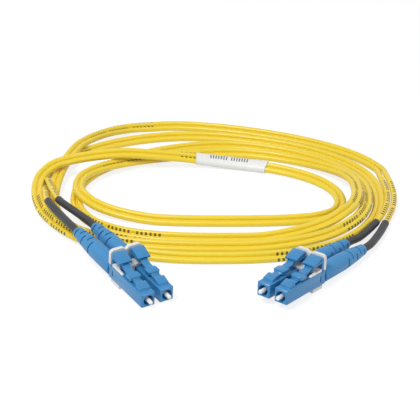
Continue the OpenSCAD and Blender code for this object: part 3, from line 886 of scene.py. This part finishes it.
@dataclass
class FreeLeg:
    """One leg between its plug unit and the coil's end, with its shrunk sleeve.

    The crimp, the sleeve's start and the boot's end are measured back from the nose. The leg has
    parts stations in the boot and between each two points, and the sleeve goes on over
    sleeve_reach of these spans beyond the boot.
    """

    pose: PlugPose
    unit: Unit
    points: Sequence[tuple[float, float, float]]
    route: CoilRoute
    crimp_s: float = 25.3
    sleeve_s: float = 28.0
    boot_end: float = 43.95
    sleeve_reach: int = 2
    sleeve_d: float = 2.5
    sleeve_bore_d: float = 2.1
    parts: int = 8
    sides: int = 20

    @property
    def name(self) -> str:
        """Start of the names of this leg's nodes."""
        return f"{self.pose.end.value}_{self.unit.value}"

    def frames(self) -> list[Frame]:
        """Stations of the leg, straight out of its boot and then along its own points.

        Returns:
            The stations, from the crimp to the coil.
        """
        last, inward = (0, 1) if self.pose.end is End.RIGHT else (-1, -2)
        coil = self.route.frames[last]
        goal_run = unit_of(self.route.frames[inward].middle - coil.middle)
        goal = coil.middle + self.unit.sign * self.route.leg_pitch / 2 * coil.across
        side, d = self.pose.side(self.unit), self.route.leg_d
        stops = (self.crimp_s, self.sleeve_s, self.boot_end + d)
        crimp, sleeve, boot = (self.pose.place((-s, side, 0)) for s in stops)
        plug_run = unit_of(sleeve - crimp)
        way = [boot, *(np.array(p, float) for p in self.points), goal - d * goal_run]
        inner = (unit_of(after - before) for before, after in zip(way, way[2:]))
        runs = [plug_run, *inner, goal_run]
        middles = [crimp, *(sleeve + (boot - sleeve) * k / self.parts for k in range(self.parts))]
        count = self.parts * (len(way) - 1)
        middles += [self.curve(way, runs, k / self.parts) for k in range(count + 1)]
        middles.append(goal)
        made, across = [], unit_of(np.cross(plug_run, [0, 0, 1]))
        for i, middle in enumerate(middles):
            run = unit_of(middles[min(i + 1, len(middles) - 1)] - middles[max(i - 1, 0)])
            across = unit_of(across - run * (across @ run))
            made.append(Frame(middle, across, np.cross(run, across)))
        return made

    @staticmethod
    def curve(points: list[np.ndarray], runs: list[np.ndarray], u: float) -> np.ndarray:
        """Place at u on a smooth curve that passes point i, in direction i, at u = i.

        Args:
            points: The points that it passes.
            runs: The direction at each point.
            u: The place along the curve.

        Returns:
            The place, in millimetres.
        """
        i = min(int(u), len(points) - 2)
        f = u - i
        d = float(np.linalg.norm(points[i + 1] - points[i]))
        return (
            (2 * f**3 - 3 * f**2 + 1) * points[i]
            + (f**3 - 2 * f**2 + f) * d * runs[i]
            + (3 * f**2 - 2 * f**3) * points[i + 1]
            + (f**3 - f**2) * d * runs[i + 1]
        )

    def build(self) -> bpy.types.Object:
        """Returns:
            The leg's piece.
        """
        frames = self.frames()
        piece = sweep(f"{self.name}_leg_jacket", frames, circle(self.route.leg_d / 2, self.sides))
        dress(piece, LEG_JACKET, ROOT_BODY, [f"{self.name}_leg"])
        return piece

    def sleeve(self) -> bpy.types.Object:
        """Sweep the shrunk sleeve over the leg, from inside the boot to where it ends.

        Returns:
            The sleeve's piece.
        """
        frames = self.frames()[1 : 2 + self.parts * (1 + self.sleeve_reach)]
        section, bore = circle(self.sleeve_d / 2, self.sides), self.sleeve_bore_d / self.sleeve_d
        piece = sweep(f"{self.name}_shrunk_sleeve", frames, section, bore)
        return dress(piece, SHRUNK_TUBE, ROOT_BODY, [f"{self.name}_shrink_sleeve"])


@dataclass
class WrappedLabel:
    """White band of film wrapped round both legs of the cord."""

    route: CoilRoute
    film: float = 0.25
    room: float = 0.1
    corner_steps: int = 6

    def section(self) -> list[tuple[float, float]]:
        """Outline of the band: flat over both legs, round at their sides.

        Returns:
            Section points, across and down.
        """
        radius = self.route.leg_d / 2 + self.room + self.film
        turn = math.pi / self.corner_steps
        half = [
            (self.route.leg_pitch / 2 + radius * math.cos(a), radius * math.sin(a))
            for a in (turn * k - math.pi / 2 for k in range(self.corner_steps + 1))
        ]
        return half + [(-x, -z) for x, z in half]

    def build(self) -> bpy.types.Object:
        """Sweep the band along its stretch of the cord.

        Returns:
            The label's piece.
        """
        frames = self.route.part(self.route.label_from, self.route.label_to)
        piece = sweep("wrapped_label", frames, self.section())
        return dress(piece, LABEL_FILM, ROOT_BODY, ["label"])


# ---------------------------------------------------------------- plug pieces


@dataclass(frozen=True)
class Trim:
    """Corners of a moulding that are drawn in or out a little to its finished shape.

    Places are measured from the nose: back along the unit, out from the middle line on both
    sides, and up from the axis. The move is forward, out and up.
    """

    back: tuple[float, float]
    out: tuple[float, float]
    up: tuple[float, float]
    move: tuple[float, float, float]

    def applies(self, place: np.ndarray) -> bool:
        """Whether a corner at this place, seen from the unit, is one of those that move."""
        spans = ((-place[0], self.back), (abs(place[1]), self.out), (place[2], self.up))
        return all(low <= value <= high for value, (low, high) in spans)


# The catch plate stands up as a thicker block than its arm, with a step in front of it.
CATCH_BLOCK = Trim(back=(7.3, 10.6), out=(0, 3), up=(3.2, 4), move=(0, 0, 0.35))
CATCH_STEP = Trim(back=(6.7, 7.1), out=(0, 3), up=(3.2, 4), move=(-0.35, 0, -0.3))
# The snap lug sits deep in its window, which reads as a dark slot.
DEEP_LUG = Trim(back=(17, 17.6), out=(1.9, 2.3), up=(-1, 1), move=(0, -0.35, 0))
# The clip's rails run out thin beside the latches, and its middle stops short between them.
THIN_RAILS = Trim(back=(11, 12), out=(4, 6), up=(2.8, 4), move=(0, 0, -0.45))
SHORT_MIDDLE = Trim(back=(11, 12), out=(0, 2), up=(2, 4), move=(-2.75, 0, 0))


@dataclass(frozen=True)
class Softened:
    """How a moulded or turned piece is made from its solid."""

    piece: str
    finish: Finish
    edge_mm: float
    moving: bool = False
    trims: tuple[Trim, ...] = ()


@dataclass(frozen=True)
class Trimming:
    """The trims of one moulding, seen from the middle line that it is measured from."""

    pose: PlugPose
    side: float
    trims: tuple[Trim, ...]

    def apply(self, bm: bmesh.types.BMesh) -> None:
        """Move the corners that each trim names.

        Args:
            bm: The moulding's mesh, in metres.
        """
        middle = np.array([0, self.side, 0])
        for trim in self.trims:
            ahead, out, up = trim.move
            for vert in bm.verts:
                place = self.pose.seen_from_plug(np.array(vert.co) / MM) - middle
                if trim.applies(place):
                    move = np.array([ahead, math.copysign(out, out * place[1]), up])
                    vert.co = Vector(self.pose.place(place + move + middle) * MM)


@dataclass
class PlugUnit:
    """One plug unit, from its nose to its boot."""

    pose: PlugPose
    unit: Unit
    nodes: dict[str, bpy.types.Object]
    softened: Sequence[Softened] = (
        Softened("front_housing", MOULDED_PBT, 0.12),
        Softened("latch", MOULDED_PBT, 0.12, moving=True, trims=(CATCH_BLOCK, CATCH_STEP)),
        Softened("rear_body", MOULDED_PBT, 0.06, trims=(DEEP_LUG,)),
        Softened("trigger", MOULDED_PBT, 0.12, moving=True),
        Softened("ferrule", ZIRCONIA, 0.03, moving=True),
        Softened("boot", BOOT_ELASTOMER, 0.07),
    )
    inside: Sequence[tuple[str, Finish]] = (
        ("ferrule_holder", NICKEL_PLATE),
        ("crimp_body", NICKEL_PLATE),
        ("crimp_sleeve", NICKEL_PLATE),
        ("buffered_fibre", FIBRE_BUFFER),
    )
    wire_edge_mm: float = 0.05
    slide_mm: float = 1.0

    @property
    def name(self) -> str:
        """Start of the names of this unit's nodes."""
        return f"{self.pose.end.value}_{self.unit.value}"

    def spring(self) -> bpy.types.Object:
        """Make the spring as a softened copy of its solid, with a mesh of its own.

        Returns:
            The spring's piece.
        """
        node, side = f"{self.name}_spring", self.pose.side(self.unit)
        untrimmed = Trimming(self.pose, side, ())
        piece = softened_copy(self.nodes[node], f"{node}_wire", self.wire_edge_mm, untrimmed)
        dress(piece, SPRING_WIRE, ROOT_BODY, [node])
        along = [self.pose.seen_from_plug(np.array(v.co) / MM)[0] for v in piece.data.vertices]
        back, front = min(along), max(along)
        seat, flange = (self.pose.place((x, side, 0)) * MM for x in (back, front))
        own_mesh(piece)
        return piece

    def build(self) -> None:
        """Make the pieces that show and the spring, and dress the others inside."""
        self.spring()
        side = self.pose.side(self.unit)
        for made in self.softened:
            node = f"{self.name}_{made.piece}"
            body = f"{node}_body" if made.moving else ROOT_BODY
            trimming = Trimming(self.pose, side, made.trims)
            piece = softened_copy(self.nodes[node], f"{node}_moulding", made.edge_mm, trimming)
            dress(piece, made.finish, body, [node])
        for piece_name, finish in self.inside:
            dress_node(self.nodes[f"{self.name}_{piece_name}"], finish)


def dress_node(node: bpy.types.Object, finish: Finish) -> None:
    """Give a solid that stays its finish.

    Args:
        node: The solid's object.
        finish: Its finish.
    """
    if not node.data.materials:
        node.data.materials.append(finish.material())
    for slot in node.material_slots:
        slot.material = finish.material()
    LOG.info("%s keeps its solid, %s", node.name, finish.name)


def softened_copy(
    solid: bpy.types.Object, name: str, edge_mm: float, trimming: Trimming
) -> bpy.types.Object:
    """Copy a solid, join its faces, trim it and round its edges as a mould leaves them.

    Args:
        solid: The solid's object.
        name: Name of the new piece.
        edge_mm: Width of the rounding.
        trimming: Where its corners are drawn in or out.

    Returns:
        The new piece, at the origin.
    """
    bm = bmesh.new()
    bm.from_mesh(solid.data)
    bmesh.ops.remove_doubles(bm, verts=bm.verts, dist=ONE_CORNER)
    bmesh.ops.dissolve_limit(
        bm,
        angle_limit=math.radians(ONE_FACE_DEG),
        use_dissolve_boundaries=False,
        verts=bm.verts,
        edges=bm.edges,
    )
    trimming.apply(bm)
    turn = math.radians(ROUNDED_EDGE_DEG)
    bmesh.ops.bevel(
        bm,
        geom=[e for e in bm.edges if e.is_manifold and e.calc_face_angle(0.0) > turn],
        offset=edge_mm * MM,
        offset_type="OFFSET",
        segments=2,
        profile=0.5,
        affect="EDGES",
        clamp_overlap=True,
        material=-1,
    )
    for face in bm.faces:
        face.smooth = True
    made = placed_piece(bm, name)
    made.data.set_sharp_from_angle(angle=math.radians(SHADED_EDGE_DEG))
    return made


@dataclass
class DuplexClip:
    """White clip that holds the two units of one end side by side."""

    end: End
    nodes: dict[str, bpy.types.Object]
    edge_mm: float = 0.08

    def build(self) -> bpy.types.Object:
        """Make the clip from its solid.

        Returns:
            The clip's piece.
        """
        node = f"{self.end.value}_duplex_clip"
        trimming = Trimming(POSES[self.end], 0.0, (THIN_RAILS, SHORT_MIDDLE))
        piece = softened_copy(self.nodes[node], f"{node}_moulding", self.edge_mm, trimming)
        return dress(piece, CLIP_NYLON, ROOT_BODY, [node])


# ---------------------------------------------------------------- stage


@dataclass(frozen=True)
class Lamp:
    """Round soft lamp that points at the cord, in metres and watts."""

    name: str
    place: tuple[float, float, float]
    power: float
    size: float = 0.4

    def hang(self, target: Sequence[float]) -> bpy.types.Object:
        """Hang the lamp and point it.

        Args:
            target: The place that it points at.

        Returns:
            The lamp's object.
        """
        data = bpy.data.lights.new(self.name, "AREA")
        data.shape, data.size, data.energy = "DISK", self.size, self.power
        lamp = bpy.data.objects.new(self.name, data)
        bpy.context.scene.collection.objects.link(lamp)
        lamp.location = self.place
        lamp.rotation_mode = "QUATERNION"
        lamp.rotation_quaternion = (Vector(target) - lamp.location).to_track_quat("-Z", "Y")
        return lamp


@dataclass
class Studio:
    """Camera, white floor and plain soft light, in metres and degrees."""

    target: tuple[float, float, float] = (-0.002, 0.0379, 0.0)
    distance: float = 0.45
    elevation: float = 25.0
    focal_pixels: float = 1341.0
    picture_pixels: float = 420.0
    sensor_mm: float = 36.0
    clip_near: float = 0.01
    clip_far: float = 20.0
    floor_size: float = 6.0
    floor_drop: float = 0.00005
    floor_lit: str = "#f4f4f4"
    floor_seen: str = "#8c8c8c"
    floor_glow: float = 0.8
    room_colour: str = "#f2f4f8"
    room_strength: float = 0.38
    lamps: Sequence[Lamp] = (
        Lamp("key_light", (-0.35, -0.25, 0.75), 4.9),
        Lamp("fill_light", (0.55, -0.35, 0.5), 1.3),
    )

    def camera(self) -> bpy.types.Object:
        """Set up the camera.

        Returns:
            The camera's object.
        """
        data = bpy.data.cameras.new("studio_camera")
        data.sensor_width = self.sensor_mm
        data.lens = self.focal_pixels / self.picture_pixels * self.sensor_mm
        data.clip_start, data.clip_end = self.clip_near, self.clip_far
        camera = bpy.data.objects.new("studio_camera", data)
        bpy.context.scene.collection.objects.link(camera)
        lift = math.radians(self.elevation)
        back = Vector((0.0, -math.cos(lift), math.sin(lift)))
        camera.location = Vector(self.target) + back * self.distance
        camera.rotation_mode = "QUATERNION"
        camera.rotation_quaternion = (-back).to_track_quat("-Z", "Y")
        bpy.context.scene.camera = camera
        return camera

    def floor(self) -> bpy.types.Object:
        """Lay the white floor, just under the cord.

        Returns:
            The floor's object.
        """
        bm = bmesh.new()
        bmesh.ops.create_grid(bm, x_segments=1, y_segments=1, size=self.floor_size / 2)
        bmesh.ops.translate(bm, verts=bm.verts, vec=(0.0, 0.0, -self.floor_drop))
        floor = placed_piece(bm, "studio_floor")
        floor.data.materials.append(self.floor_material())
        floor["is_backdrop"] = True
        return floor

    @staticmethod
    def seen_directly(tree: bpy.types.NodeTree) -> bpy.types.NodeSocket:
        """1 for the camera's own rays and for those in gloss and glass.

        Args:
            tree: The nodes of the material or the world.

        Returns:
            The socket that gives it.
        """
        rays = add_node(tree, "ShaderNodeLightPath").outputs
        seen = rays["Is Camera Ray"]
        for kind in ("Is Glossy Ray", "Is Transmission Ray"):
            inputs = {0: seen, 1: rays[kind]}
            seen = add_node(tree, "ShaderNodeMath", {"operation": "MAXIMUM"}, inputs).outputs[0]
        return seen

    def floor_material(self) -> bpy.types.Material:
        """White paper that lights the cord from below and that the camera sees with faint shadows.

        Returns:
            The floor's material.
        """
        made = bpy.data.materials.new("white paper floor")
        made.use_nodes = True
        tree = made.node_tree
        tree.nodes.clear()
        seen = self.seen_directly(tree)
        colour = add_node(
            tree,
            "ShaderNodeMix",
            {"data_type": "RGBA"},
            {0: seen, 6: linear(self.floor_lit), 7: linear(self.floor_seen)},
        )
        paper = add_node(tree, "ShaderNodeBsdfDiffuse", inputs={"Color": colour.outputs[2]})
        strength = add_node(
            tree, "ShaderNodeMath", {"operation": "MULTIPLY"}, {0: seen, 1: self.floor_glow}
        )
        glow = add_node(
            tree,
            "ShaderNodeEmission",
            inputs={"Color": linear(WHITE), "Strength": strength.outputs[0]},
        )
        lit = {0: paper.outputs[0], 1: glow.outputs[0]}
        both = add_node(tree, "ShaderNodeAddShader", inputs=lit)
        add_node(tree, "ShaderNodeOutputMaterial", inputs={"Surface": both.outputs[0]})
        return made

    def light(self) -> None:
        """Hang the lamps and set the pale surroundings, which show as white."""
        for lamp in self.lamps:
            lamp.hang(self.target)
        world = bpy.data.worlds.new("pale_room")
        bpy.context.scene.world = world
        world.use_nodes = True
        tree = world.node_tree
        tree.nodes.clear()
        room, wall = (
            add_node(tree, "ShaderNodeBackground", inputs={"Color": linear(c), "Strength": power})
            for c, power in ((self.room_colour, self.room_strength), (WHITE, 1.0))
        )
        mixed = add_node(
            tree,
            "ShaderNodeMixShader",
            inputs={0: self.seen_directly(tree), 1: room.outputs[0], 2: wall.outputs[0]},
        )
        add_node(tree, "ShaderNodeOutputWorld", inputs={"Surface": mixed.outputs[0]})
        bpy.context.scene.view_settings.view_transform = "Standard"


# Places that each leg passes between its boot and the coil's end.
LEG_POINTS = {
    (End.RIGHT, Unit.OUTER): (
        (51.2, 14.1, 1.6),
        (55.2, 24.7, 1.4),
        (58.9, 35.7, 1.8),
        (60.5, 45.7, 2),
        (60.5, 54.7, 2.2),
        (59.9, 62.2, 2.2),
    ),
    (End.RIGHT, Unit.INNER): (
        (45.8, 13.8, 1.8),
        (52.1, 24, 2.1),
        (56.1, 33.7, 2.4),
        (58.1, 43.7, 2),
        (58.5, 53.7, 1.6),
        (57.8, 62.2, 1.4),
    ),
    (End.LEFT, Unit.OUTER): (
        (-49.6, 18.7, 6.9),
        (-55.1, 29.9, 7),
        (-57.6, 42.7, 5),
        (-58.9, 53.2, 1.8),
        (-61, 59.7, 1.2),
        (-60.3, 65.7, 1.2),
        (-57.4, 72.3, 1.4),
    ),
    (End.LEFT, Unit.INNER): (
        (-45.2, 21.5, 6.9),
        (-51.8, 31.3, 6.9),
        (-55.2, 41.7, 6.3),
        (-57.6, 51.7, 4.7),
        (-58.8, 58.2, 2.5),
        (-58.1, 65.2, 1.2),
        (-55.4, 71.2, 1.2),
    ),
}


def corners() -> list[list[float]]:
    """Lowest and highest corner of what shows, as plain lists."""
    return [list(corner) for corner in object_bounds()]


def main() -> None:
    """Build the scene: camera and cords first, then the plugs, then the stage."""
    logging.basicConfig(level=logging.INFO, format="%(name)s: %(message)s")
    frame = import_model()
    studio = Studio()
    studio.camera()
    route = CoilRoute()
    route.settle()
    TwinCord(route).build()
    legs = [FreeLeg(POSES[end], unit, points, route) for (end, unit), points in LEG_POINTS.items()]
    for leg in legs:
        leg.build()
    for leg in legs:
        leg.sleeve()
    WrappedLabel(route).build()
    for end in End:
        for unit in Unit:
            PlugUnit(POSES[end], unit, frame["nodes"]).build()
        DuplexClip(end, frame["nodes"]).build()
    studio.floor()
    studio.light()


if __name__ == "__main__":
    main()
